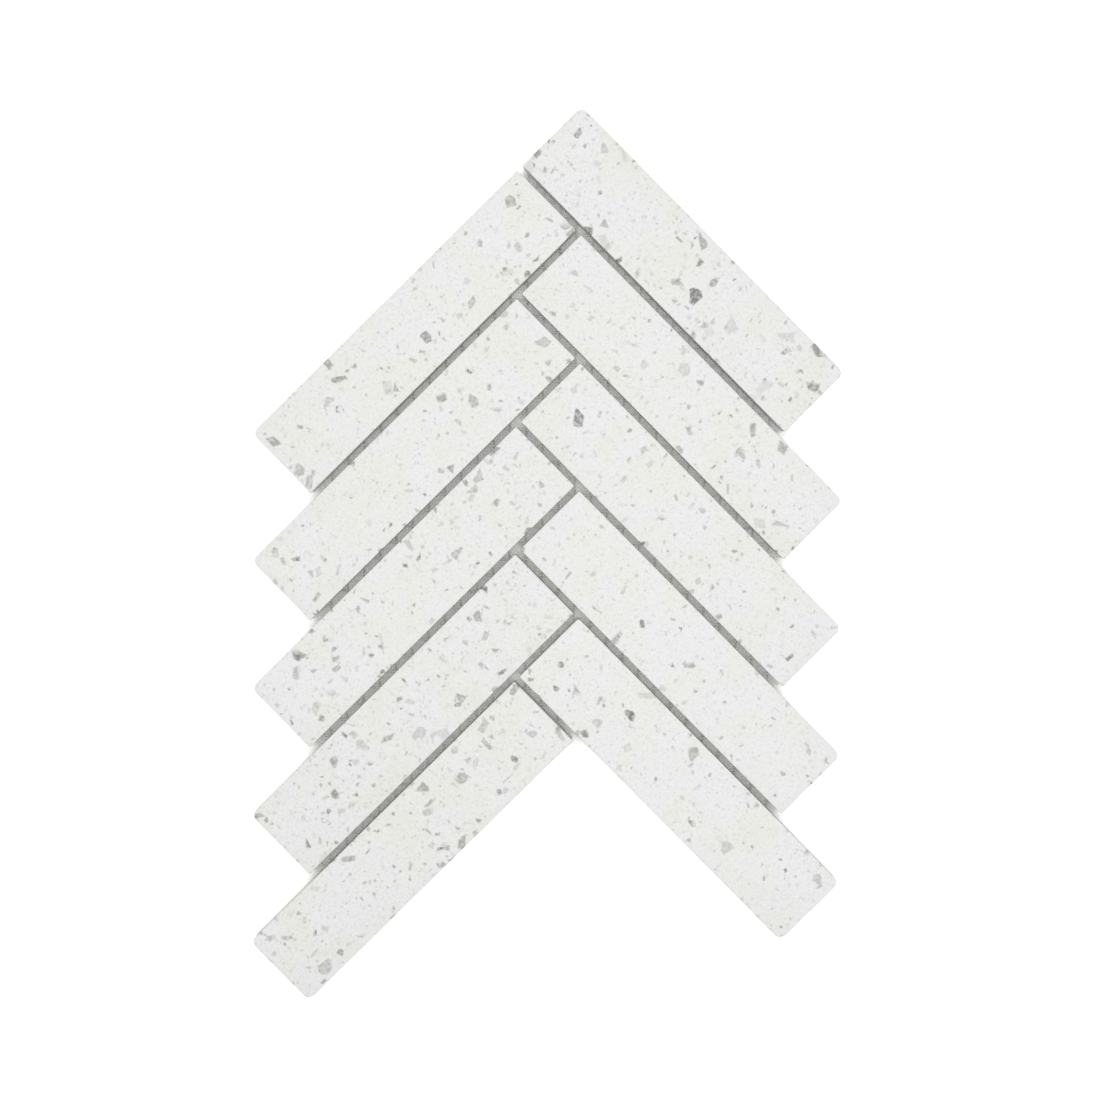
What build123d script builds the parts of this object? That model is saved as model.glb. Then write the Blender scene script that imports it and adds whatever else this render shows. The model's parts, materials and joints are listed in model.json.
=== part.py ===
"""Herringbone mosaic tile: ten terrazzo strips bonded to one glass-fibre backing mesh.

The sheet lies flat, face up. X runs across the herringbone, +Y points to its peak and Z is up.
The origin is at the middle of the sheet's outline, on the underside of the backing mesh.
"""

from build123d import *

import os
from itertools import product
from math import sqrt

# Driving dimensions, in millimetres
STRIP_LENGTH = 114.0
STRIP_WIDTH = 25.5
STRIP_THICKNESS = 9.5
JOINT_WIDTH = 2.1
STRIPS_PER_SIDE = 5

# Edge finish of a strip: upright corners, rounder where they stand free, and an eased arris round the face
INNER_CORNER_RADIUS = 0.5
FREE_CORNER_RADIUS = 2.2
ARRIS_RADIUS = 0.3

# Backing mesh: how thick it is with its glue, and how far it stops short of the strips' outer edges
MESH_THICKNESS = 0.6
MESH_MARGIN = 1.5

PARTS_FOLDER = "parts"

# Each strip steps down the herringbone by its own width and one joint
PITCH = STRIP_WIDTH + JOINT_WIDTH
LAST_ROW = STRIPS_PER_SIDE - 1
LAST_STEP = LAST_ROW * PITCH
LEFT_TURN = 45.0
RIGHT_TURN = -45.0


def sheet_point(along, across):
    """A point of the sheet, from a distance along the left strips and one along the right strips.

    The left strips run up to the right and the right strips run down to the right. Both distances
    start at the peak end of the first right strip, on its lower side.
    """
    middle_x = (STRIP_WIDTH - JOINT_WIDTH) / 2
    middle_y = -(STRIP_LENGTH + JOINT_WIDTH + 2 * LAST_STEP) / 2
    x = (along + across - middle_x) / sqrt(2)
    y = (along - across - middle_y) / sqrt(2)
    return x, y


def right_place(row):
    """Middle and turn of a right strip, which leans down to the right. Row 0 is at the peak."""
    step = row * PITCH
    x, y = sheet_point(STRIP_WIDTH / 2 - step, STRIP_LENGTH / 2 + step)
    return Location((x, y, 0), (0, 0, RIGHT_TURN))


def left_place(row):
    """Middle and turn of a left strip, whose upper end butts against the right strip of its row."""
    step = row * PITCH
    x, y = sheet_point(-JOINT_WIDTH - STRIP_LENGTH / 2 - step, STRIP_WIDTH / 2 + step)
    return Location((x, y, 0), (0, 0, LEFT_TURN))


def left_free_corners(row):
    """Free corners of a left strip, as signs of its X and Y: the left tip, and the last one's foot."""
    return [(-1, 1), (-1, -1)] if row == LAST_ROW else [(-1, 1)]


def right_free_corners(row):
    """Free corners of a right strip: the right tip, the first one's peak and the last one's foot."""
    corners = [(1, 1)]
    if row == 0:
        corners.append((-1, 1))
    if row == LAST_ROW:
        corners.append((1, -1))
    return corners


def terrazzo_strip(free_corners):
    """One strip, long side on X, standing on the mesh: sawn flat below, arris eased round the face."""
    outline = Rectangle(STRIP_LENGTH, STRIP_WIDTH)
    for corner in product((-1, 1), (-1, 1)):
        point = Vector(corner[0] * STRIP_LENGTH / 2, corner[1] * STRIP_WIDTH / 2)
        radius = FREE_CORNER_RADIUS if corner in free_corners else INNER_CORNER_RADIUS
        outline = fillet(outline.vertices().sort_by_distance(point)[0], radius)
    body = Pos(0, 0, MESH_THICKNESS) * extrude(outline, STRIP_THICKNESS)
    face_rim = body.faces().sort_by(Axis.Z)[-1].edges()
    return fillet(face_rim, ARRIS_RADIUS)


def backing_mesh(places):
    """The mesh under all the strips and their joints, trimmed back from the outer edge.

    Each strip's field reaches to the middle of the joints round it, so the fields join into one outline.
    """
    field = Rectangle(STRIP_LENGTH + JOINT_WIDTH, STRIP_WIDTH + JOINT_WIDTH)
    fields = Sketch() + [place * field for place in places]
    trimmed = offset(fields, -(JOINT_WIDTH / 2 + MESH_MARGIN), kind=Kind.INTERSECTION)
    return extrude(trimmed, MESH_THICKNESS)


def main():
    """Builds every piece and writes one STEP file for each."""
    places = []
    pieces = {}
    for row in range(STRIPS_PER_SIDE):
        left = left_place(row)
        right = right_place(row)
        places += [left, right]
        pieces[f"strip_left_{row + 1}"] = left * terrazzo_strip(left_free_corners(row))
        pieces[f"strip_right_{row + 1}"] = right * terrazzo_strip(right_free_corners(row))
    pieces["backing_mesh"] = backing_mesh(places)

    os.makedirs(PARTS_FOLDER, exist_ok=True)
    for name, piece in pieces.items():
        export_step(piece, os.path.join(PARTS_FOLDER, f"{name}.step"))


main()
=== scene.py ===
"""Looks of a herringbone terrazzo mosaic sheet: ten strips with worn arrises on a woven backing net.

The file is laid out as an add-on and run as a script. Lengths are in metres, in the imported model's frame.
"""

import itertools
import json
import math
import random
import typing

import bpy
from mathutils import Matrix, Vector

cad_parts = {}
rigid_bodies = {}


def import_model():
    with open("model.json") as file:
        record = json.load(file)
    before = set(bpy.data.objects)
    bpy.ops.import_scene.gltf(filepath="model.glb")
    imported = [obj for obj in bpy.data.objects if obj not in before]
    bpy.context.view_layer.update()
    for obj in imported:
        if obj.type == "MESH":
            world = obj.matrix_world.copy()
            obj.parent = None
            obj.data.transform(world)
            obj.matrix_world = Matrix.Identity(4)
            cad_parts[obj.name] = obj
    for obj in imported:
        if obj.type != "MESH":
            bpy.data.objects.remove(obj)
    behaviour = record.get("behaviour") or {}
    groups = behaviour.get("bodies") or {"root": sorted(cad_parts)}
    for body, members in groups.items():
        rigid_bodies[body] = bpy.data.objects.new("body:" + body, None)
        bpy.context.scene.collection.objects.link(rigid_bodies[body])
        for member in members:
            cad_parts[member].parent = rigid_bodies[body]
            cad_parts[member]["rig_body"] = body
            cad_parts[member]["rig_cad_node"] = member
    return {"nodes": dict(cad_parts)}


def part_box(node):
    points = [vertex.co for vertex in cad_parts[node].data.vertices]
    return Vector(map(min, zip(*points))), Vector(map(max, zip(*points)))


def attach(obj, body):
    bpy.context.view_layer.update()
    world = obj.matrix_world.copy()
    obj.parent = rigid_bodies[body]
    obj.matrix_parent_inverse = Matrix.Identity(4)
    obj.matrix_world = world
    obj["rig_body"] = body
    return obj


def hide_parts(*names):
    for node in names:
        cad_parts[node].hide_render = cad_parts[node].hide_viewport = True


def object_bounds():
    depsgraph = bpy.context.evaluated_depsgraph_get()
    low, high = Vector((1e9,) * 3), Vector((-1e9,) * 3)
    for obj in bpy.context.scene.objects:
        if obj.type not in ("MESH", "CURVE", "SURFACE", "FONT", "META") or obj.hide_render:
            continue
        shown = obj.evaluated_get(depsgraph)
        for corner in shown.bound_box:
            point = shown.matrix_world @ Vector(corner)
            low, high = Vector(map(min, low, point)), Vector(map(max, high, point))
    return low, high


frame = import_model()
CAD_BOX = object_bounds()

bl_info = {
    "name": "Terrazzo herringbone sheet",
    "version": (1, 0, 0),
    "blender": (4, 5, 0),
    "location": "3D View > Sidebar > Mosaic",
    "description": "Dresses a herringbone mosaic sheet in terrazzo and gives it a woven backing net",
    "category": "Object",
}

STRIP_NODES = sorted(name for name in frame["nodes"] if name.startswith("strip_"))
NET_NODE = "backing_mesh"

# Points closer than this are one point, and heights closer than this are one height
SAME_PLACE = 1e-6

# The left strips are turned this far one way, and the right strips as far the other way
HERRINGBONE_TURN = math.radians(45.0)

# How full of stone each strip is, from 0 to 1, because the slab is fuller in some places than in others
FULLNESS = {
    "strip_left_1": 0.5,
    "strip_left_2": 0.45,
    "strip_left_3": 0.65,
    "strip_left_4": 0.95,
    "strip_left_5": 1.0,
    "strip_right_1": 1.0,
    "strip_right_2": 0.5,
    "strip_right_3": 0.4,
    "strip_right_4": 0.2,
    "strip_right_5": 0.25,
}


# Decimal places that the sidebar shows of a length
LENGTH_PLACES = 5


def length_property(name, description, default):
    """A size in metres that a user may change."""
    return bpy.props.FloatProperty(
        name=name, description=description, default=default, min=0.0, unit="LENGTH", precision=LENGTH_PLACES
    )


def colour_property(name, description, default):
    """A linear colour that a user may change."""
    return bpy.props.FloatVectorProperty(
        name=name, description=description, default=default, size=3, min=0.0, max=1.0, subtype="COLOR"
    )


def place_property(name, description, default):
    """A place in metres, on either side of the middle, that a user may change."""
    return bpy.props.FloatProperty(
        name=name, description=description, default=default, unit="LENGTH", precision=LENGTH_PLACES
    )


def angle_property(name, description, degrees):
    """An angle that a user may change."""
    return bpy.props.FloatProperty(
        name=name, description=description, default=math.radians(degrees), subtype="ANGLE"
    )


class StripSettings(bpy.types.PropertyGroup):
    """The small damage on a strip's edges and face."""

    nick_length: length_property("Nick length", "Longest nick along an arris", 0.001)
    nick_depth: length_property("Nick depth", "Deepest nick into an arris", 0.0003)
    pit_width: length_property("Pit width", "Widest pinhole in the face", 0.0005)
    nicks: bpy.props.IntProperty(name="Nicks", description="Nicks round a strip's face", default=18, min=0)
    pits: bpy.props.IntProperty(name="Pits", description="Pinholes in a strip's face", default=9, min=0)
    seed: bpy.props.IntProperty(name="Seed", description="Start of the random places", default=7, min=0)


class TerrazzoSettings(bpy.types.PropertyGroup):
    """Colours of the terrazzo and sizes of its stone chips."""

    warm_cement: colour_property("Warm cement", "Cement where it is a little green", (0.803, 0.805, 0.754))
    cool_cement: colour_property("Cool cement", "Cement where it is a little violet", (0.817, 0.813, 0.829))
    black_grain: colour_property("Black grain", "Rare dark mineral grain", (0.06, 0.06, 0.06))
    dark_chip: colour_property("Dark chip", "Darkest stone chip", (0.13, 0.135, 0.12))
    grey_chip: colour_property("Grey chip", "Usual stone chip", (0.31, 0.315, 0.29))
    pale_chip: colour_property("Pale chip", "Palest stone chip", (0.59, 0.6, 0.57))
    chip_softness: length_property("Chip softness", "How far a chip's outline fades each way", 0.00028)
    large_chip: length_property("Large chip", "Longest large chip", 0.0048)
    large_spacing: length_property("Large chip spacing", "Distance between large chips", 0.005)
    medium_chip: length_property("Medium chip", "Longest medium chip", 0.0025)
    medium_spacing: length_property("Medium chip spacing", "Distance between medium chips", 0.003)
    small_chip: length_property("Small chip", "Longest small chip", 0.0013)
    small_spacing: length_property("Small chip spacing", "Distance between small chips", 0.0017)
    sand_grain: length_property("Sand grain", "Longest grain of the sand in the cement", 0.0008)
    sand_spacing: length_property("Sand spacing", "Distance between grains of sand", 0.00095)
    roughness: bpy.props.FloatProperty(
        name="Roughness",
        description="Roughness of the honed cement",
        default=0.55,
        min=0.0,
        max=1.0,
        subtype="FACTOR",
    )


class NetSettings(bpy.types.PropertyGroup):
    """Sizes and colour of the woven glass-fibre net."""

    opening: length_property("Mesh width", "Distance from yarn to yarn", 0.005)
    weft_width: length_property("Weft width", "Width of the flat yarns that run across", 0.0007)
    warp_width: length_property("Warp width", "Width of one of the two twisted yarns that run up", 0.0004)
    colour: colour_property("Yarn colour", "Coated glass fibre", (0.86, 0.86, 0.82))


class StudioSettings(bpy.types.PropertyGroup):
    """Camera, light and floor."""

    camera_distance: length_property("Camera distance", "From the middle of the picture to the camera", 0.9)
    picture_width: length_property("Picture width", "What the camera sees across at the tile", 0.3365)
    aim_x: place_property("Aim X", "Middle of the picture, across", 0.0009)
    aim_y: place_property("Aim Y", "Middle of the picture, up the tile", 0.0019)
    tilt: angle_property("Tilt", "Lean of the camera towards the peak", 1.69)
    pan: angle_property("Pan", "Lean of the camera to the right", 0.22)
    roll: angle_property("Roll", "Turn of the camera about its view", 0.36)
    dome_strength: bpy.props.FloatProperty(
        name="Dome", description="Even light from all round", default=0.45, min=0.0
    )
    softbox_power: bpy.props.FloatProperty(
        name="Softbox", description="Light from the softbox overhead", default=11.2, min=0.0, subtype="POWER"
    )
    floor_colour: colour_property("Floor", "Pale studio floor", (0.962, 0.97, 0.935))
    floor_glow: bpy.props.FloatProperty(
        name="Floor glow",
        description="How far the open floor is whitened for the camera, which hides its shadow",
        default=0.55,
        min=0.0,
    )


def start_piece(add_primitive, name, **settings):
    """Adds a primitive with nothing else selected, and gives it its name."""
    bpy.ops.object.select_all(action="DESELECT")
    add_primitive(**settings)
    piece = bpy.context.object
    piece.name = name
    piece.data.name = name
    return piece


def select_only(*pieces):
    """Selects these objects alone, the first one active."""
    bpy.ops.object.select_all(action="DESELECT")
    for piece in pieces:
        piece.select_set(True)
    bpy.context.view_layer.objects.active = pieces[0]


def apply_place(piece):
    """Moves the object's place, turn and scale into its mesh."""
    select_only(piece)
    bpy.ops.object.transform_apply(location=True, rotation=True, scale=True)


def apply_modifier(piece, kind, **settings):
    """Adds one modifier to the piece and applies it."""
    select_only(piece)
    modifier = piece.modifiers.new(kind.title(), kind)
    for name, value in settings.items():
        setattr(modifier, name, value)
    bpy.ops.object.modifier_apply(modifier=modifier.name)


def repeat_piece(piece, count, step, **settings):
    """Repeats a piece in a row, one step apart."""
    apply_modifier(
        piece,
        "ARRAY",
        count=count,
        use_relative_offset=False,
        use_constant_offset=True,
        constant_offset_displace=step,
        **settings,
    )


def edit_edges(piece, wanted=lambda a, b: False):
    """Enters edit mode with just those edges selected whose two end points pass the test, or with none."""
    select_only(piece)
    bpy.context.tool_settings.mesh_select_mode = (False, True, False)
    mesh = piece.data
    for elements in (mesh.vertices, mesh.edges, mesh.polygons):
        elements.foreach_set("select", [False] * len(elements))
    for edge in mesh.edges:
        edge.select = wanted(*(mesh.vertices[index].co for index in edge.vertices))
    bpy.ops.object.mode_set(mode="EDIT")


def round_selected_edges(radius, segments):
    """Rounds the selected edges and leaves edit mode."""
    bpy.ops.mesh.bevel(offset=radius, segments=segments, affect="EDGES")
    bpy.ops.object.mode_set(mode="OBJECT")


def join_pieces(pieces, name):
    """Joins objects into the first one and names it."""
    select_only(*pieces)
    if len(pieces) > 1:
        bpy.ops.object.join()
    joined = bpy.context.object
    joined.name = name
    joined.data.name = name
    return joined


def cut_away(piece, cutter, operation):
    """Cuts the piece with the cutter, which goes."""
    apply_modifier(piece, "BOOLEAN", object=cutter, operation=operation, solver="MANIFOLD")
    bpy.data.objects.remove(cutter)


def require_box(piece, node, slack):
    """Raises if the piece doesn't fill the box of its CAD node, as when a cut has emptied it."""
    piece_box = [piece.matrix_world @ Vector(corner) for corner in piece.bound_box]
    for axis in range(3):
        low, high = (corner[axis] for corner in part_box(node))
        places = [corner[axis] for corner in piece_box]
        if abs(min(places) - low) > slack or abs(max(places) - high) > slack:
            raise RuntimeError(f"{piece.name} doesn't fill the box of {node}")


def smooth_by_angle(piece, angle):
    """Smooth shading, with the sharper edges kept."""
    select_only(piece)
    bpy.ops.object.shade_smooth_by_angle(angle=angle)


class StripPlace:
    """Where a strip lies, its own length, width and heights, and the radii of its corners and its arris."""

    def __init__(self, node):
        low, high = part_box(node)
        self.bottom = low.z
        self.top = high.z
        self.turn = HERRINGBONE_TURN if "left" in node else -HERRINGBONE_TURN
        back = Matrix.Rotation(-self.turn, 3, "Z")
        points = [back @ vertex.co for vertex in frame["nodes"][node].data.vertices]
        ends = [min(p.x for p in points), max(p.x for p in points)]
        sides = [min(p.y for p in points), max(p.y for p in points)]
        self.length = ends[1] - ends[0]
        self.width = sides[1] - sides[0]
        middle = Vector((sum(ends) / 2, sum(sides) / 2, 0.0))
        self.middle = back.inverted() @ middle
        face = [p.x for p in points if p.z > self.top - SAME_PLACE]
        self.arris_radius = (self.length - max(face) + min(face)) / 2
        self.corner_radii = {}
        for end, side in itertools.product((-1, 1), (-1, 1)):
            # On the diagonal, a corner of radius 1 falls short of the sharp one by the root of two less 1
            outwards = Vector((end, side, 0.0)).normalized()
            sharp = outwards.dot(Vector((end * self.length, side * self.width, 0.0)) / 2)
            short = sharp - max(outwards.dot(p - middle) for p in points)
            self.corner_radii[end, side] = short / (math.sqrt(2.0) - 1.0)


CORNER_SEGMENTS = 6
ARRIS_SEGMENTS = 4
STRIP_SMOOTH_ANGLE = math.radians(30.0)


def strip_block(place, name):
    """One strip along X: a block with rounded upright corners and an eased arris round its face."""
    middle = (0, 0, (place.top + place.bottom) / 2)
    block = start_piece(bpy.ops.mesh.primitive_cube_add, name, size=1.0, location=middle)
    block.scale = (place.length, place.width, place.top - place.bottom)
    apply_place(block)
    for (end, side), radius in place.corner_radii.items():
        corner = Vector((end * place.length / 2, side * place.width / 2))
        edit_edges(block, lambda a, b: max((a.xy - corner).length, (b.xy - corner).length) < SAME_PLACE)
        round_selected_edges(radius, CORNER_SEGMENTS)
    edit_edges(block, lambda a, b: min(a.z, b.z) > place.top - SAME_PLACE)
    round_selected_edges(place.arris_radius, ARRIS_SEGMENTS)
    return block


# The broken lump that cuts a nick or a pit: how finely it is faceted, how far its points are thrown, and how
# many throws there are to draw from
LUMP_SUBDIVISIONS = 2
LUMP_THROW = 0.12
LUMP_SEEDS = 10000

# A nick's lump: how far it may sink below the face, in arris radii, the least draw for its size, how far it
# may turn, in radians, and its least and greatest size along the arris, across it and down, in nick lengths
# and nick depths
NICK_SINK = 0.4
NICK_LEAST_DRAW = 0.25
NICK_TURN = 0.3
NICK_ALONG = (0.3, 1.0)
NICK_ACROSS = (0.6, 2.0)
NICK_DOWN = (0.8, 3.0)

# A pit's lump: where in its own stretch of the face it may lie, how many nick lengths it keeps from the
# sides, its least and greatest width, in pit widths, and its length and height, in widths of its own
PIT_PLACES = (0.1, 0.9)
PIT_CLEAR = 2
PIT_WIDTHS = (0.5, 1.0)
PIT_LENGTHS = (0.8, 1.5)
PIT_HEIGHT = 1.6


def damage_tool(dice, point, size, turn):
    """A small broken lump whose shape is cut out of a strip."""
    lump = start_piece(
        bpy.ops.mesh.primitive_ico_sphere_add, "damage", subdivisions=LUMP_SUBDIVISIONS, radius=0.5
    )
    bpy.ops.object.mode_set(mode="EDIT")
    bpy.ops.mesh.select_all(action="SELECT")
    bpy.ops.transform.vertex_random(offset=LUMP_THROW, seed=dice.randrange(LUMP_SEEDS))
    bpy.ops.object.mode_set(mode="OBJECT")
    lump.scale = size
    lump.rotation_euler = (0, 0, turn)
    lump.location = point
    apply_place(lump)
    return lump


def rim_points(dice, place, count, clear):
    """Points spread round the arris at random, each in its own stretch, with the edge's direction there."""
    points = []
    corner_clear = clear + max(place.corner_radii.values())
    stretch = 2 * (place.length + place.width) / max(count, 1)
    for number in range(count):
        along = number * stretch + dice.uniform(clear, stretch - clear)
        for run, other, turn in (
            (place.length, place.width, 0.0),
            (place.width, place.length, math.pi / 2),
            (place.length, place.width, math.pi),
            (place.width, place.length, -math.pi / 2),
        ):
            if along < run:
                break
            along -= run
        if corner_clear < along < run - corner_clear:
            points.append((Matrix.Rotation(turn, 3, "Z") @ Vector((along - run / 2, -other / 2, 0)), turn))
    return points


def part_way(limits, share):
    """The value that lies a share of the way between two limits."""
    return limits[0] + (limits[1] - limits[0]) * share


def damage_strip(block, place, settings, dice):
    """Nicks along the arris and pinholes in the face, cut into the strip."""
    tools = []
    for point, turn in rim_points(dice, place, settings.nicks, settings.nick_length):
        point.z = place.top - dice.uniform(0.0, NICK_SINK) * place.arris_radius
        share = dice.uniform(NICK_LEAST_DRAW, 1.0) ** 2
        size = (
            settings.nick_length * part_way(NICK_ALONG, share),
            settings.nick_depth * part_way(NICK_ACROSS, share),
            settings.nick_depth * part_way(NICK_DOWN, share),
        )
        tools.append(damage_tool(dice, point, size, turn + dice.uniform(-NICK_TURN, NICK_TURN)))
    up = place.width / 2 - PIT_CLEAR * settings.nick_length
    stretch = place.length / max(settings.pits, 1)
    for number in range(settings.pits):
        along = (number + dice.uniform(*PIT_PLACES)) * stretch - place.length / 2
        point = Vector((along, dice.uniform(-up, up), place.top))
        width = settings.pit_width * dice.uniform(*PIT_WIDTHS)
        size = (width * dice.uniform(*PIT_LENGTHS), width, width * PIT_HEIGHT)
        tools.append(damage_tool(dice, point, size, dice.uniform(0, math.pi)))
    if tools:
        cut_away(block, join_pieces(tools, "damage"), "DIFFERENCE")


def link_values(tree, node, values):
    """Sets a node's inputs, by name or number, to plain values or to other nodes' outputs."""
    for key, value in values.items():
        if isinstance(value, bpy.types.NodeSocket):
            tree.links.new(value, node.inputs[key])
        else:
            node.inputs[key].default_value = value


def add_node(tree, kind, values, **settings):
    """Adds a node with its settings and inputs."""
    node = tree.nodes.new(kind)
    for name, value in settings.items():
        setattr(node, name, value)
    link_values(tree, node, values)
    return node


def calculate(tree, operation, *values):
    """One step of arithmetic on numbers."""
    return add_node(tree, "ShaderNodeMath", dict(enumerate(values)), operation=operation).outputs[0]


def calculate_vector(tree, operation, *values):
    """One step of arithmetic on vectors. A dot product or a length comes out as a number."""
    node = add_node(tree, "ShaderNodeVectorMath", dict(enumerate(values)), operation=operation)
    return node.outputs["Value" if operation in ("DOT_PRODUCT", "LENGTH") else "Vector"]


def scale_vector(tree, vector, factor):
    """A vector times a number."""
    values = {0: vector, "Scale": factor}
    return add_node(tree, "ShaderNodeVectorMath", values, operation="SCALE").outputs["Vector"]


# The colours' sockets of a Mix node, by number, because those for numbers and vectors have the same names
MIX_FACTOR = 0
MIX_FIRST = 6
MIX_SECOND = 7
MIX_RESULT = 2


def mix_colours(tree, factor, first, second):
    """A blend of two colours."""
    values = {MIX_FACTOR: factor, MIX_FIRST: first, MIX_SECOND: second}
    return add_node(tree, "ShaderNodeMix", values, data_type="RGBA").outputs[MIX_RESULT]


# From none to all of a share, a mask or a random number
WHOLE = (0.0, 1.0)


def between(tree, value, old_limits, new_limits):
    """A number taken smoothly from between two limits to between two others."""
    values = {"Value": value}
    values["From Min"], values["From Max"] = old_limits
    values["To Min"], values["To Max"] = new_limits
    return add_node(tree, "ShaderNodeMapRange", values, interpolation_type="SMOOTHSTEP").outputs["Result"]


def noise(tree, vector, scale, detail, **values):
    """Cloudy noise, with its scale in waves to one unit of the vector."""
    values = {"Vector": vector, "Scale": scale, "Detail": detail, **values}
    return add_node(tree, "ShaderNodeTexNoise", values).outputs


def centred(tree, random_colour):
    """A random colour less mid-grey, which makes it a vector that may point any way."""
    return calculate_vector(tree, "SUBTRACT", random_colour, (0.5, 0.5, 0.5))


def solid(colour):
    """A colour with full opacity."""
    return (*colour, 1.0)


def new_group(name, inputs, outputs):
    """An empty shader node group with its sockets. Gives the group, what it is given and its end node."""
    group = bpy.data.node_groups.new(name, "ShaderNodeTree")
    for in_out, sockets in (("INPUT", inputs), ("OUTPUT", outputs)):
        for socket, kind in sockets.items():
            group.interface.new_socket(socket, in_out=in_out, socket_type=kind)
    return group, group.nodes.new("NodeGroupInput").outputs, group.nodes.new("NodeGroupOutput")


def start_material(name):
    """An empty material, and the place on the object that its patterns read."""
    material = bpy.data.materials.new(name)
    material.use_nodes = True
    material.node_tree.nodes.clear()
    return material, material.node_tree.nodes.new("ShaderNodeTexCoord").outputs["Object"]


def finish_material(material, colour, roughness, relief):
    """The shader of a material, with the bump that gives it its fine relief."""
    tree = material.node_tree
    bump = add_node(tree, "ShaderNodeBump", relief)
    values = {"Base Color": colour, "Roughness": roughness, "Normal": bump.outputs["Normal"]}
    shader = add_node(tree, "ShaderNodeBsdfPrincipled", values)
    add_node(tree, "ShaderNodeOutputMaterial", {"Surface": shader.outputs["BSDF"]})


# A chip's flat sides: the nearest and the farthest that each may lie from the chip's middle, in sizes of the
# chip, and whether the opposite side is flat too
CHIP_SIDES = (
    (0.25, 0.7, True),
    (0.4, 0.95, True),
    (0.35, 0.95, False),
    (0.35, 0.95, False),
    (0.35, 0.95, False),
)

# How far a chip reaches at most, in sizes of its own, and the smallest chip's share of the full size
CHIP_REACH = 1.25
SMALLEST_CHIP = 0.45

# How freely the chips lie: at 0 on a grid, at 1 quite at random
CHIP_SCATTER = 0.9

# The noise that makes a chip's sides wavy: its waves to a spacing, its detail, and how far it moves them
CHIP_WAVES = 5.0
CHIP_WAVE_DETAIL = 1.0
CHIP_WAVE_REACH = 0.09

# The same noise clouds a chip: below the first limit only this share of it shows, above the second all of it
CHIP_CLOUDING = (0.3, 0.6)
CLOUDED_CHIP = 0.5

# How deep a chip's dark rim reaches inwards, in sizes of the chip, and how dark it can be
RIM_DEPTH = 0.35
RIM_DARKNESS = 0.65


def stone_chip_group():
    """Broken stone chips in a solid block: each is the space inside a few random planes about its middle.

    Lengths inside the group are in units of the spacing.
    """
    group, given, end = new_group(
        "stone_chips",
        {
            "Vector": "NodeSocketVector",
            "Spacing": "NodeSocketFloat",
            "Size": "NodeSocketFloat",
            "Share": "NodeSocketFloat",
            "Softness": "NodeSocketFloat",
        },
        {
            "Mask": "NodeSocketFloat",
            "Tone": "NodeSocketFloat",
            "Veil": "NodeSocketFloat",
            "Rim": "NodeSocketFloat",
        },
    )
    per_metre = calculate(group, "DIVIDE", 1.0, given["Spacing"])
    point = scale_vector(group, given["Vector"], per_metre)
    wobble = noise(group, point, CHIP_WAVES, CHIP_WAVE_DETAIL)
    push = scale_vector(group, centred(group, wobble["Color"]), CHIP_WAVE_REACH)
    point = calculate_vector(group, "ADD", point, push)
    values = {"Vector": point, "Scale": 1.0, "Randomness": CHIP_SCATTER}
    cells = add_node(group, "ShaderNodeTexVoronoi", values).outputs
    local = calculate_vector(group, "SUBTRACT", point, cells["Position"])

    def throw(number):
        """Random numbers of each chip's own."""
        values = {"Vector": cells["Color"], "W": float(number)}
        return add_node(group, "ShaderNodeTexWhiteNoise", values, noise_dimensions="4D").outputs

    share = between(group, throw(0)["Value"], WHOLE, (SMALLEST_CHIP, 1.0))
    size = calculate(group, "MULTIPLY", given["Size"], share)
    outside = calculate(group, "MULTIPLY_ADD", size, -CHIP_REACH, calculate_vector(group, "LENGTH", local))
    for number, (nearest, farthest, both) in enumerate(CHIP_SIDES, start=1):
        thrown = throw(number)
        side = calculate_vector(group, "NORMALIZE", centred(group, thrown["Color"]))
        distance = calculate_vector(group, "DOT_PRODUCT", local, side)
        if both:
            distance = calculate(group, "ABSOLUTE", distance)
        place = between(group, thrown["Value"], WHOLE, (-nearest, -farthest))
        past_side = calculate(group, "MULTIPLY_ADD", size, place, distance)
        outside = calculate(group, "MAXIMUM", outside, past_side)
    inner = calculate(group, "MULTIPLY", given["Softness"], -1.0)
    shape = between(group, outside, (inner, given["Softness"]), (1.0, 0.0))
    clouded = between(group, wobble["Fac"], CHIP_CLOUDING, (CLOUDED_CHIP, 1.0))
    last = throw(len(CHIP_SIDES) + 1)
    there = calculate(group, "LESS_THAN", last["Value"], given["Share"])
    red, green, blue = add_node(group, "ShaderNodeSeparateColor", {"Color": last["Color"]}).outputs
    rim_from = calculate(group, "MULTIPLY", size, -RIM_DEPTH)
    link_values(
        group,
        end,
        {
            "Mask": calculate(group, "MULTIPLY", calculate(group, "MULTIPLY", shape, clouded), there),
            "Tone": green,
            "Veil": blue,
            "Rim": between(group, outside, (rim_from, 0.0), (0.0, red)),
        },
    )
    return group


class ChipLayer(typing.NamedTuple):
    """One size of chips: the names of its two settings, the share of its places that is filled in the barest
    strip and in the fullest, how faint and how plain its chips show, and where on the scale of tones they
    are black, dark, grey and pale. A tone that it doesn't have is None."""

    length: str
    spacing: str
    barest: float
    fullest: float
    faintest: float
    plainest: float
    tones: tuple


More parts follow.
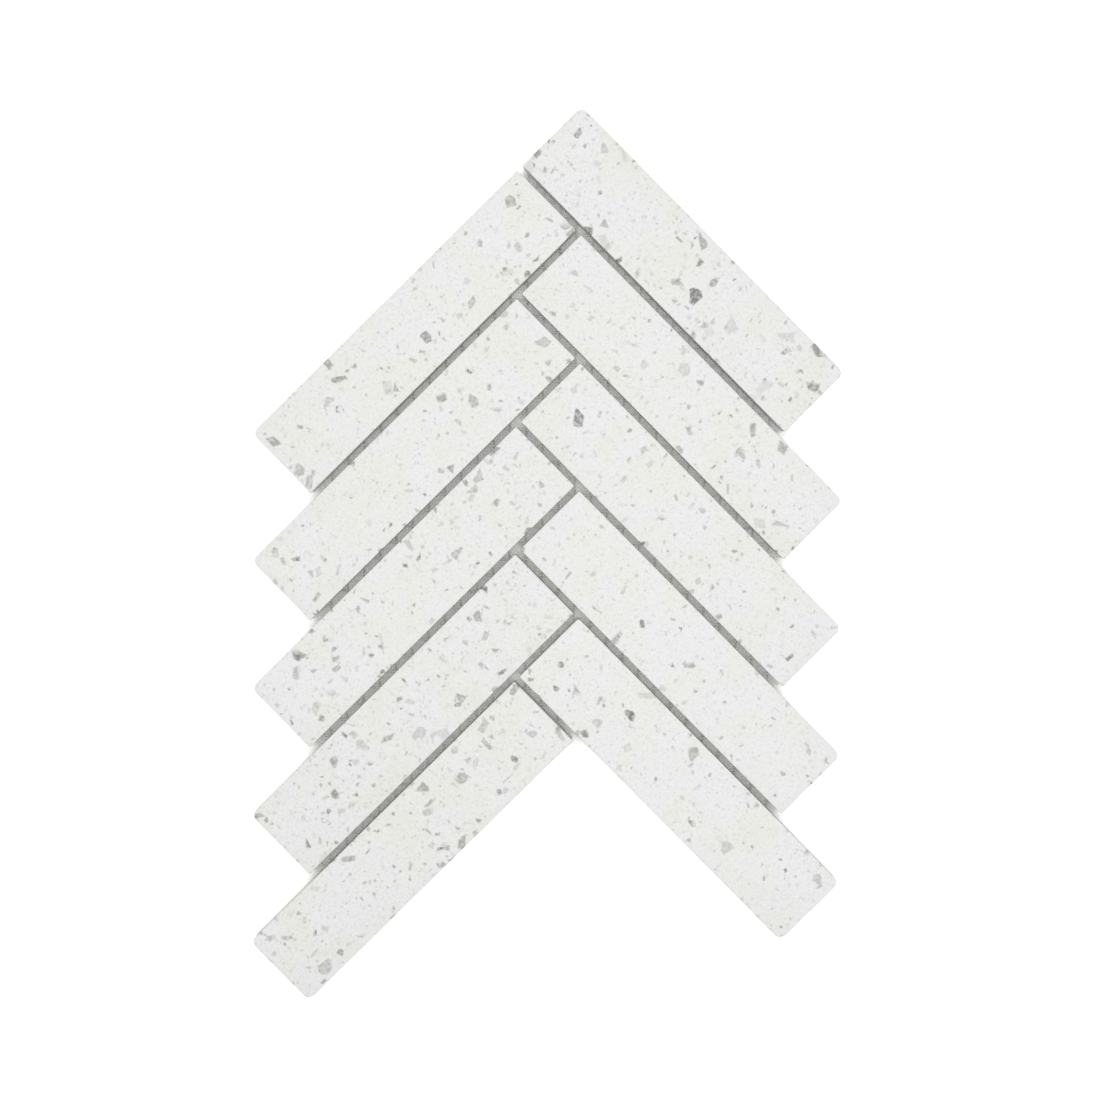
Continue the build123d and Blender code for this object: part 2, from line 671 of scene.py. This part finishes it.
CHIP_LAYERS = (
    ChipLayer(
        "sand_grain", "sand_spacing", barest=0.3, fullest=0.38, faintest=0.1, plainest=0.5,
        tones=(None, 0.0, 0.45, 1.0),
    ),
    ChipLayer(
        "small_chip", "small_spacing", barest=0.2, fullest=0.33, faintest=0.15, plainest=1.0,
        tones=(0.0, 0.03, 0.45, 1.0),
    ),
    ChipLayer(
        "medium_chip", "medium_spacing", barest=0.17, fullest=0.43, faintest=0.3, plainest=1.0,
        tones=(None, 0.0, 0.45, 1.0),
    ),
    ChipLayer(
        "large_chip", "large_spacing", barest=0.03, fullest=0.44, faintest=0.6, plainest=1.0,
        tones=(None, 0.0, 0.5, 1.0),
    ),
)


def chip_tones(tree, tone, places, settings):
    """The colour of a chip, from its tone."""
    ramp = add_node(tree, "ShaderNodeValToRGB", {"Fac": tone})
    colours = (settings.black_grain, settings.dark_chip, settings.grey_chip, settings.pale_chip)
    stops = ramp.color_ramp.elements
    stops.remove(stops[1])
    shown = [(place, colour) for place, colour in zip(places, colours) if place is not None]
    for number, (place, colour) in enumerate(shown):
        stop = stops.new(place) if number else stops[0]
        stop.position = place
        stop.color = solid(colour)
    return ramp.outputs["Color"]


def lay_chips(tree, chips, layer, settings, under, vector, share):
    """Puts one size of chips over the colour below. Gives the new colour and the chips' mask."""
    spacing = getattr(settings, layer.spacing)
    values = {
        "Vector": vector,
        "Spacing": spacing,
        "Size": getattr(settings, layer.length) / 2 / spacing,
        "Share": share,
        "Softness": settings.chip_softness / spacing,
    }
    stones = add_node(tree, "ShaderNodeGroup", values, node_tree=chips).outputs
    stone = chip_tones(tree, stones["Tone"], layer.tones, settings)
    rim = calculate(tree, "MULTIPLY", stones["Rim"], RIM_DARKNESS)
    stone = mix_colours(tree, rim, stone, solid(settings.dark_chip))
    veil = between(tree, stones["Veil"], WHOLE, (layer.faintest, layer.plainest))
    cover = calculate(tree, "MULTIPLY", stones["Mask"], veil)
    return mix_colours(tree, cover, under, stone), cover


# The noise that tints the cement in clouds: waves to a metre, detail, roughness, and from where to where the
# cement goes from cool to warm
CLOUD_WAVES = 70.0
CLOUD_DETAIL = 4.0
CLOUD_ROUGHNESS = 0.65
CLOUD_LIMITS = (0.36, 0.64)

# The cement's fine grain: waves to a metre, detail, where it darkens and by how much
GRAIN_WAVES = 1300.0
GRAIN_DETAIL = 2.0
GRAIN_LIMITS = (0.4, 0.75)
GRAIN_DARKNESS = 0.14

# How much darker the cement is in the fullest strip, and how much smoother a chip is than cement
FULL_DARKNESS = 0.025
CHIP_POLISH = 0.15

# The grain's relief, and how far from the slab's middle a strip may be cut
GRAIN_BUMP = 0.25
GRAIN_DEPTH = 0.00004
SLAB_REACH = 2.0


def terrazzo_group(settings):
    """The whole terrazzo: clouded cement with sand in it, and three sizes of stone chips."""
    group, given, end = new_group(
        "terrazzo",
        {"Vector": "NodeSocketVector", "Fullness": "NodeSocketFloat"},
        {"Color": "NodeSocketColor", "Roughness": "NodeSocketFloat", "Height": "NodeSocketFloat"},
    )
    vector = given["Vector"]
    clouds = noise(group, vector, CLOUD_WAVES, CLOUD_DETAIL, Roughness=CLOUD_ROUGHNESS)["Fac"]
    tint = between(group, clouds, CLOUD_LIMITS, WHOLE)
    colour = mix_colours(group, tint, solid(settings.cool_cement), solid(settings.warm_cement))
    grain = noise(group, vector, GRAIN_WAVES, GRAIN_DETAIL)["Fac"]
    darker = between(group, grain, GRAIN_LIMITS, (0.0, GRAIN_DARKNESS))
    darker = calculate(group, "MULTIPLY_ADD", given["Fullness"], FULL_DARKNESS, darker)
    colour = mix_colours(group, darker, colour, solid(settings.grey_chip))
    chips = stone_chip_group()
    cover = 0.0
    for layer in CHIP_LAYERS:
        more = layer.fullest - layer.barest
        share = calculate(group, "MULTIPLY_ADD", given["Fullness"], more, layer.barest)
        colour, shown = lay_chips(group, chips, layer, settings, colour, vector, share)
        cover = calculate(group, "MAXIMUM", cover, shown)
    roughness = between(group, cover, WHOLE, (settings.roughness, settings.roughness - CHIP_POLISH))
    link_values(group, end, {"Color": colour, "Roughness": roughness, "Height": grain})
    return group


def terrazzo_material(terrazzo, node, dice):
    """The terrazzo of one strip, taken from its own place in the slab."""
    material, place = start_material(f"terrazzo_{node.removeprefix('strip_')}")
    tree = material.node_tree
    values = {
        "Vector": place,
        "Location": [dice.uniform(-SLAB_REACH, SLAB_REACH) for _ in range(3)],
        "Rotation": [dice.uniform(0.0, math.tau) for _ in range(3)],
    }
    mapping = add_node(tree, "ShaderNodeMapping", values)
    values = {"Vector": mapping.outputs["Vector"], "Fullness": FULLNESS[node]}
    stone = add_node(tree, "ShaderNodeGroup", values, node_tree=terrazzo).outputs
    relief = {"Strength": GRAIN_BUMP, "Distance": GRAIN_DEPTH, "Height": stone["Height"]}
    finish_material(material, stone["Color"], stone["Roughness"], relief)
    return material


class MOSAIC_OT_terrazzo_strips(bpy.types.Operator):
    """Models the ten strips with their worn arrises, and gives each its own piece of terrazzo"""

    bl_idname = "mosaic.terrazzo_strips"
    bl_label = "Terrazzo strips"

    def execute(self, context):
        settings = context.scene.mosaic_strip
        dice = random.Random(settings.seed)
        terrazzo = terrazzo_group(context.scene.mosaic_terrazzo)
        for node in STRIP_NODES:
            place = StripPlace(node)
            strip = strip_block(place, f"terrazzo_{node}")
            damage_strip(strip, place, settings, dice)
            strip.rotation_euler = (0, 0, place.turn)
            strip.location = place.middle
            apply_place(strip)
            require_box(strip, node, place.arris_radius)
            smooth_by_angle(strip, STRIP_SMOOTH_ANGLE)
            strip.data.materials.clear()
            strip.data.materials.append(terrazzo_material(terrazzo, node, dice))
            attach(strip, "root")
            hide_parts(node)
        return {"FINISHED"}


# A weft yarn lies between the two strands of a warp pair, so the net is three yarns thick
YARN_LAYERS = 3

# The first weft lies this far outside the net's lower edge and the first warp this far inside its left edge,
# in mesh widths
FIRST_WEFT = 1 / 4
FIRST_WARP = 1 / 3

# How finely the yarns are faceted, a warp strand's cuts in one mesh, and how close its ends are when they
# merge, in widths of the strand
WEFT_FACETS = 8
WARP_FACETS = 6
WARP_CUTS = 5
WARP_MERGE = 1 / 20
YARN_SMOOTH_ANGLE = math.radians(50.0)

# The block that trims the yarns is this many times as thick as the net
TRIM_HEIGHT = 3


class NetPlan:
    """Where the net lies, how thick each of its layers is, and where and how often its yarns repeat."""

    def __init__(self, settings):
        low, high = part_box(NET_NODE)
        self.width = high.x - low.x
        self.middle_x = (low.x + high.x) / 2
        self.thickness = high.z - low.z
        self.middle_z = (low.z + high.z) / 2
        self.layer = self.thickness / YARN_LAYERS
        self.rows = math.ceil((high.y - low.y) / settings.opening) + 1
        self.columns = math.ceil(self.width / settings.opening) + 1
        self.first_weft = low.y - FIRST_WEFT * settings.opening
        self.first_warp = low.x + FIRST_WARP * settings.opening


def straight_yarn(name, facets, turn, size, middle, **settings):
    """A straight yarn: a round rod turned to its direction, brought to its size and put in its place."""
    yarn = start_piece(
        bpy.ops.mesh.primitive_cylinder_add,
        name,
        vertices=facets,
        radius=0.5,
        depth=1.0,
        rotation=turn,
        **settings,
    )
    apply_place(yarn)
    yarn.scale = size
    yarn.location = middle
    apply_place(yarn)
    return yarn


def weft_yarns(plan, settings):
    """Flat yarns across the sheet, one every mesh width."""
    size = (plan.width + 2 * settings.opening, settings.weft_width, plan.layer)
    middle = (plan.middle_x, plan.first_weft, plan.middle_z)
    yarn = straight_yarn("weft", WEFT_FACETS, (0, math.pi / 2, 0), size, middle)
    repeat_piece(yarn, plan.rows, (0, settings.opening, 0))
    return yarn


def twisted_pair(plan, settings):
    """Two open strands as long as one mesh, one over the other, that change places along it."""
    size = (settings.warp_width, settings.opening, plan.layer)
    turn = (math.pi / 2, 0, 0)
    strands = []
    for side in (-1, 1):
        middle = (0, 0, side * plan.layer)
        strands.append(straight_yarn("warp", WARP_FACETS, turn, size, middle, end_fill_type="NOTHING"))
    pair = join_pieces(strands, "warp")
    edit_edges(pair, lambda a, b: abs(a.y - b.y) > SAME_PLACE)
    bpy.ops.mesh.subdivide(number_cuts=WARP_CUTS)
    bpy.ops.object.mode_set(mode="OBJECT")
    apply_modifier(pair, "SIMPLE_DEFORM", deform_method="TWIST", deform_axis="Y", angle=math.pi)
    return pair


def close_ends(yarns):
    """Caps the yarns' open ends and points all faces outwards."""
    edit_edges(yarns)
    bpy.ops.mesh.select_non_manifold()
    bpy.ops.mesh.fill_holes(sides=0)
    bpy.ops.mesh.select_all(action="SELECT")
    bpy.ops.mesh.normals_make_consistent(inside=False)
    bpy.ops.object.mode_set(mode="OBJECT")


def warp_yarns(plan, settings):
    """Pairs of yarns up the sheet, twisted half a turn in each mesh, which hold each weft between them."""
    pair = twisted_pair(plan, settings)
    repeat_piece(
        pair,
        plan.rows,
        (0, settings.opening, 0),
        use_merge_vertices=True,
        merge_threshold=WARP_MERGE * settings.warp_width,
    )
    pair.location = (plan.first_warp, plan.first_weft + settings.opening / 2, plan.middle_z)
    apply_place(pair)
    repeat_piece(pair, plan.columns, (settings.opening, 0, 0))
    close_ends(pair)
    return pair


def net_outline(plan):
    """A block with the net's outline, which reaches past the net above and below, to trim yarns with."""
    block = frame["nodes"][NET_NODE].copy()
    block.data = block.data.copy()
    block.name = "trim"
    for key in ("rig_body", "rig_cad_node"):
        block.pop(key, None)
    block.parent = None
    bpy.context.scene.collection.objects.link(block)
    select_only(block)
    bpy.ops.object.mode_set(mode="EDIT")
    bpy.ops.mesh.select_all(action="SELECT")
    bpy.ops.mesh.remove_doubles(threshold=SAME_PLACE)
    bpy.ops.object.mode_set(mode="OBJECT")
    block.scale = (1, 1, TRIM_HEIGHT)
    block.location = (0, 0, -plan.thickness * (TRIM_HEIGHT - 1) / 2)
    apply_place(block)
    return block


# The glue on the yarns: waves to a metre, detail, from where to where it comes in, how much shows at most,
# how dark it makes the yarn, and the roughness of a clean yarn and of a glued one
GLUE_WAVES = 220.0
GLUE_DETAIL = 3.0
GLUE_LIMITS = (0.3, 0.7)
GLUE_COVER = 0.25
GLUED_SHADE = 0.75
YARN_ROUGHNESS = (0.45, 0.7)

# The fine glass strands of a yarn, and their relief
STRAND_WAVES = 6000.0
STRAND_DETAIL = 2.0
STRAND_BUMP = 0.4
STRAND_DEPTH = 0.00003


def yarn_material(settings):
    """Coated glass fibre: fine strands, and a little glue that dulls them."""
    material, place = start_material("glass_fibre_yarn")
    tree = material.node_tree
    glue = noise(tree, place, GLUE_WAVES, GLUE_DETAIL)["Fac"]
    strands = noise(tree, place, STRAND_WAVES, STRAND_DETAIL)["Fac"]
    glued = tuple(GLUED_SHADE * channel for channel in settings.colour)
    cover = between(tree, glue, GLUE_LIMITS, (0.0, GLUE_COVER))
    colour = mix_colours(tree, cover, solid(settings.colour), solid(glued))
    roughness = between(tree, glue, GLUE_LIMITS, YARN_ROUGHNESS)
    relief = {"Strength": STRAND_BUMP, "Distance": STRAND_DEPTH, "Height": strands}
    finish_material(material, colour, roughness, relief)
    return material


class MOSAIC_OT_backing_net(bpy.types.Operator):
    """Weaves the glass-fibre net under the strips and trims it to the sheet's outline"""

    bl_idname = "mosaic.backing_net"
    bl_label = "Backing net"

    def execute(self, context):
        settings = context.scene.mosaic_net
        plan = NetPlan(settings)
        yarns = [weft_yarns(plan, settings), warp_yarns(plan, settings)]
        for yarn in yarns:
            cut_away(yarn, net_outline(plan), "INTERSECT")
        net = join_pieces(yarns, "backing_net")
        require_box(net, NET_NODE, settings.opening)
        smooth_by_angle(net, YARN_SMOOTH_ANGLE)
        net.data.materials.clear()
        net.data.materials.append(yarn_material(settings))
        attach(net, "root")
        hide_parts(NET_NODE)
        return {"FINISHED"}


# The floor, which lies a hair under the sheet
FLOOR_SIZE = 20.0
FLOOR_DROP = 0.0001

# The floor is open where little stands within this reach of it. It whitens from the first to the second
# share of open sky, which is found by this many samples
OPEN_REACH = 0.03
OPEN_LIMITS = (0.34, 0.5)
OPEN_SAMPLES = 6

# The softbox, which faces the sheet's middle, and the width of the camera's sensor in millimetres
SOFTBOX_PLACE = Vector((0.05, 0.1, 1.3))
SOFTBOX_SIZE = 0.9
SENSOR_WIDTH = 36.0


def studio_floor(settings):
    """A wide pale floor, whitened for the camera where it lies open. The whitening sheds no light."""
    floor = start_piece(
        bpy.ops.mesh.primitive_plane_add, "studio_floor", size=FLOOR_SIZE, location=(0, 0, -FLOOR_DROP)
    )
    apply_place(floor)
    material = bpy.data.materials.new("studio_floor")
    material.use_nodes = True
    material.cycles.emission_sampling = "NONE"
    tree = material.node_tree
    sky = add_node(tree, "ShaderNodeAmbientOcclusion", {"Distance": OPEN_REACH}, samples=OPEN_SAMPLES)
    open_floor = between(tree, sky.outputs["AO"], OPEN_LIMITS, WHOLE)
    light_path = tree.nodes.new("ShaderNodeLightPath")
    values = {
        "Base Color": solid(settings.floor_colour),
        "Roughness": 1.0,
        "Specular IOR Level": 0.0,
        "Emission Color": calculate(tree, "MULTIPLY", open_floor, light_path.outputs["Is Camera Ray"]),
        "Emission Strength": settings.floor_glow,
    }
    link_values(tree, tree.nodes["Principled BSDF"], values)
    floor.data.materials.append(material)


def studio_light(settings):
    """Even light from all round, and a wide softbox overhead."""
    world = bpy.data.worlds.new("studio")
    world.use_nodes = True
    values = {"Color": (1.0, 1.0, 1.0, 1.0), "Strength": settings.dome_strength}
    link_values(world.node_tree, world.node_tree.nodes["Background"], values)
    bpy.context.scene.world = world
    bpy.ops.object.select_all(action="DESELECT")
    bpy.ops.object.light_add(type="AREA", location=SOFTBOX_PLACE)
    softbox = bpy.context.object
    softbox.name = "softbox"
    softbox.data.shape = "SQUARE"
    softbox.data.size = SOFTBOX_SIZE
    softbox.data.energy = settings.softbox_power
    softbox.rotation_euler = SOFTBOX_PLACE.to_track_quat("Z", "Y").to_euler()
    bpy.context.scene.view_settings.view_transform = "Standard"


def studio_camera(settings):
    """A camera almost straight above the sheet, as far off and as turned as the picture was taken."""
    back = Vector(
        (
            math.sin(settings.pan) * math.cos(settings.tilt),
            math.sin(settings.tilt),
            math.cos(settings.pan) * math.cos(settings.tilt),
        )
    )
    right = Vector((0, 1, 0)).cross(back).normalized()
    turned = Matrix((right, back.cross(right), back)).transposed()
    turned = turned @ Matrix.Rotation(settings.roll, 3, "Z")
    bpy.ops.object.select_all(action="DESELECT")
    bpy.ops.object.camera_add()
    camera = bpy.context.object
    camera.name = "camera"
    aim = Vector((settings.aim_x, settings.aim_y, CAD_BOX[1].z))
    camera.location = aim + back * settings.camera_distance
    camera.rotation_euler = turned.to_euler()
    camera.data.sensor_width = SENSOR_WIDTH
    camera.data.lens = SENSOR_WIDTH * settings.camera_distance / settings.picture_width
    bpy.context.scene.camera = camera


class MOSAIC_OT_studio(bpy.types.Operator):
    """Sets up the pale floor, the soft light and the camera"""

    bl_idname = "mosaic.studio"
    bl_label = "Studio"

    def execute(self, context):
        settings = context.scene.mosaic_studio
        studio_floor(settings)
        studio_light(settings)
        studio_camera(settings)
        return {"FINISHED"}


class MOSAIC_PT_sheet(bpy.types.Panel):
    """Lists the steps that dress the sheet, with their settings"""

    bl_idname = "MOSAIC_PT_sheet"
    bl_label = "Terrazzo herringbone sheet"
    bl_space_type = "VIEW_3D"
    bl_region_type = "UI"
    bl_category = "Mosaic"

    def draw(self, context):
        for operator, owners in PANEL_ROWS:
            box = self.layout.box()
            for owner in owners:
                settings = getattr(context.scene, owner)
                for name in settings.__annotations__:
                    box.prop(settings, name)
            box.operator(operator)


PANEL_ROWS = (
    ("mosaic.terrazzo_strips", ("mosaic_strip", "mosaic_terrazzo")),
    ("mosaic.backing_net", ("mosaic_net",)),
    ("mosaic.studio", ("mosaic_studio",)),
)

SETTINGS = {
    "mosaic_strip": StripSettings,
    "mosaic_terrazzo": TerrazzoSettings,
    "mosaic_net": NetSettings,
    "mosaic_studio": StudioSettings,
}

CLASSES = (
    *SETTINGS.values(),
    MOSAIC_OT_terrazzo_strips,
    MOSAIC_OT_backing_net,
    MOSAIC_OT_studio,
    MOSAIC_PT_sheet,
)


def register():
    """Registers the classes and hangs the settings on the scene."""
    for item in CLASSES:
        bpy.utils.register_class(item)
    for name, group in SETTINGS.items():
        setattr(bpy.types.Scene, name, bpy.props.PointerProperty(type=group))


def unregister():
    """Takes the settings and classes away again."""
    for name in SETTINGS:
        delattr(bpy.types.Scene, name)
    for item in reversed(CLASSES):
        bpy.utils.unregister_class(item)


def main():
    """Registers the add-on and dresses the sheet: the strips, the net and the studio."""
    register()
    bpy.ops.mosaic.terrazzo_strips()
    bpy.ops.mosaic.backing_net()
    bpy.ops.mosaic.studio()


if __name__ == "__main__":
    main()
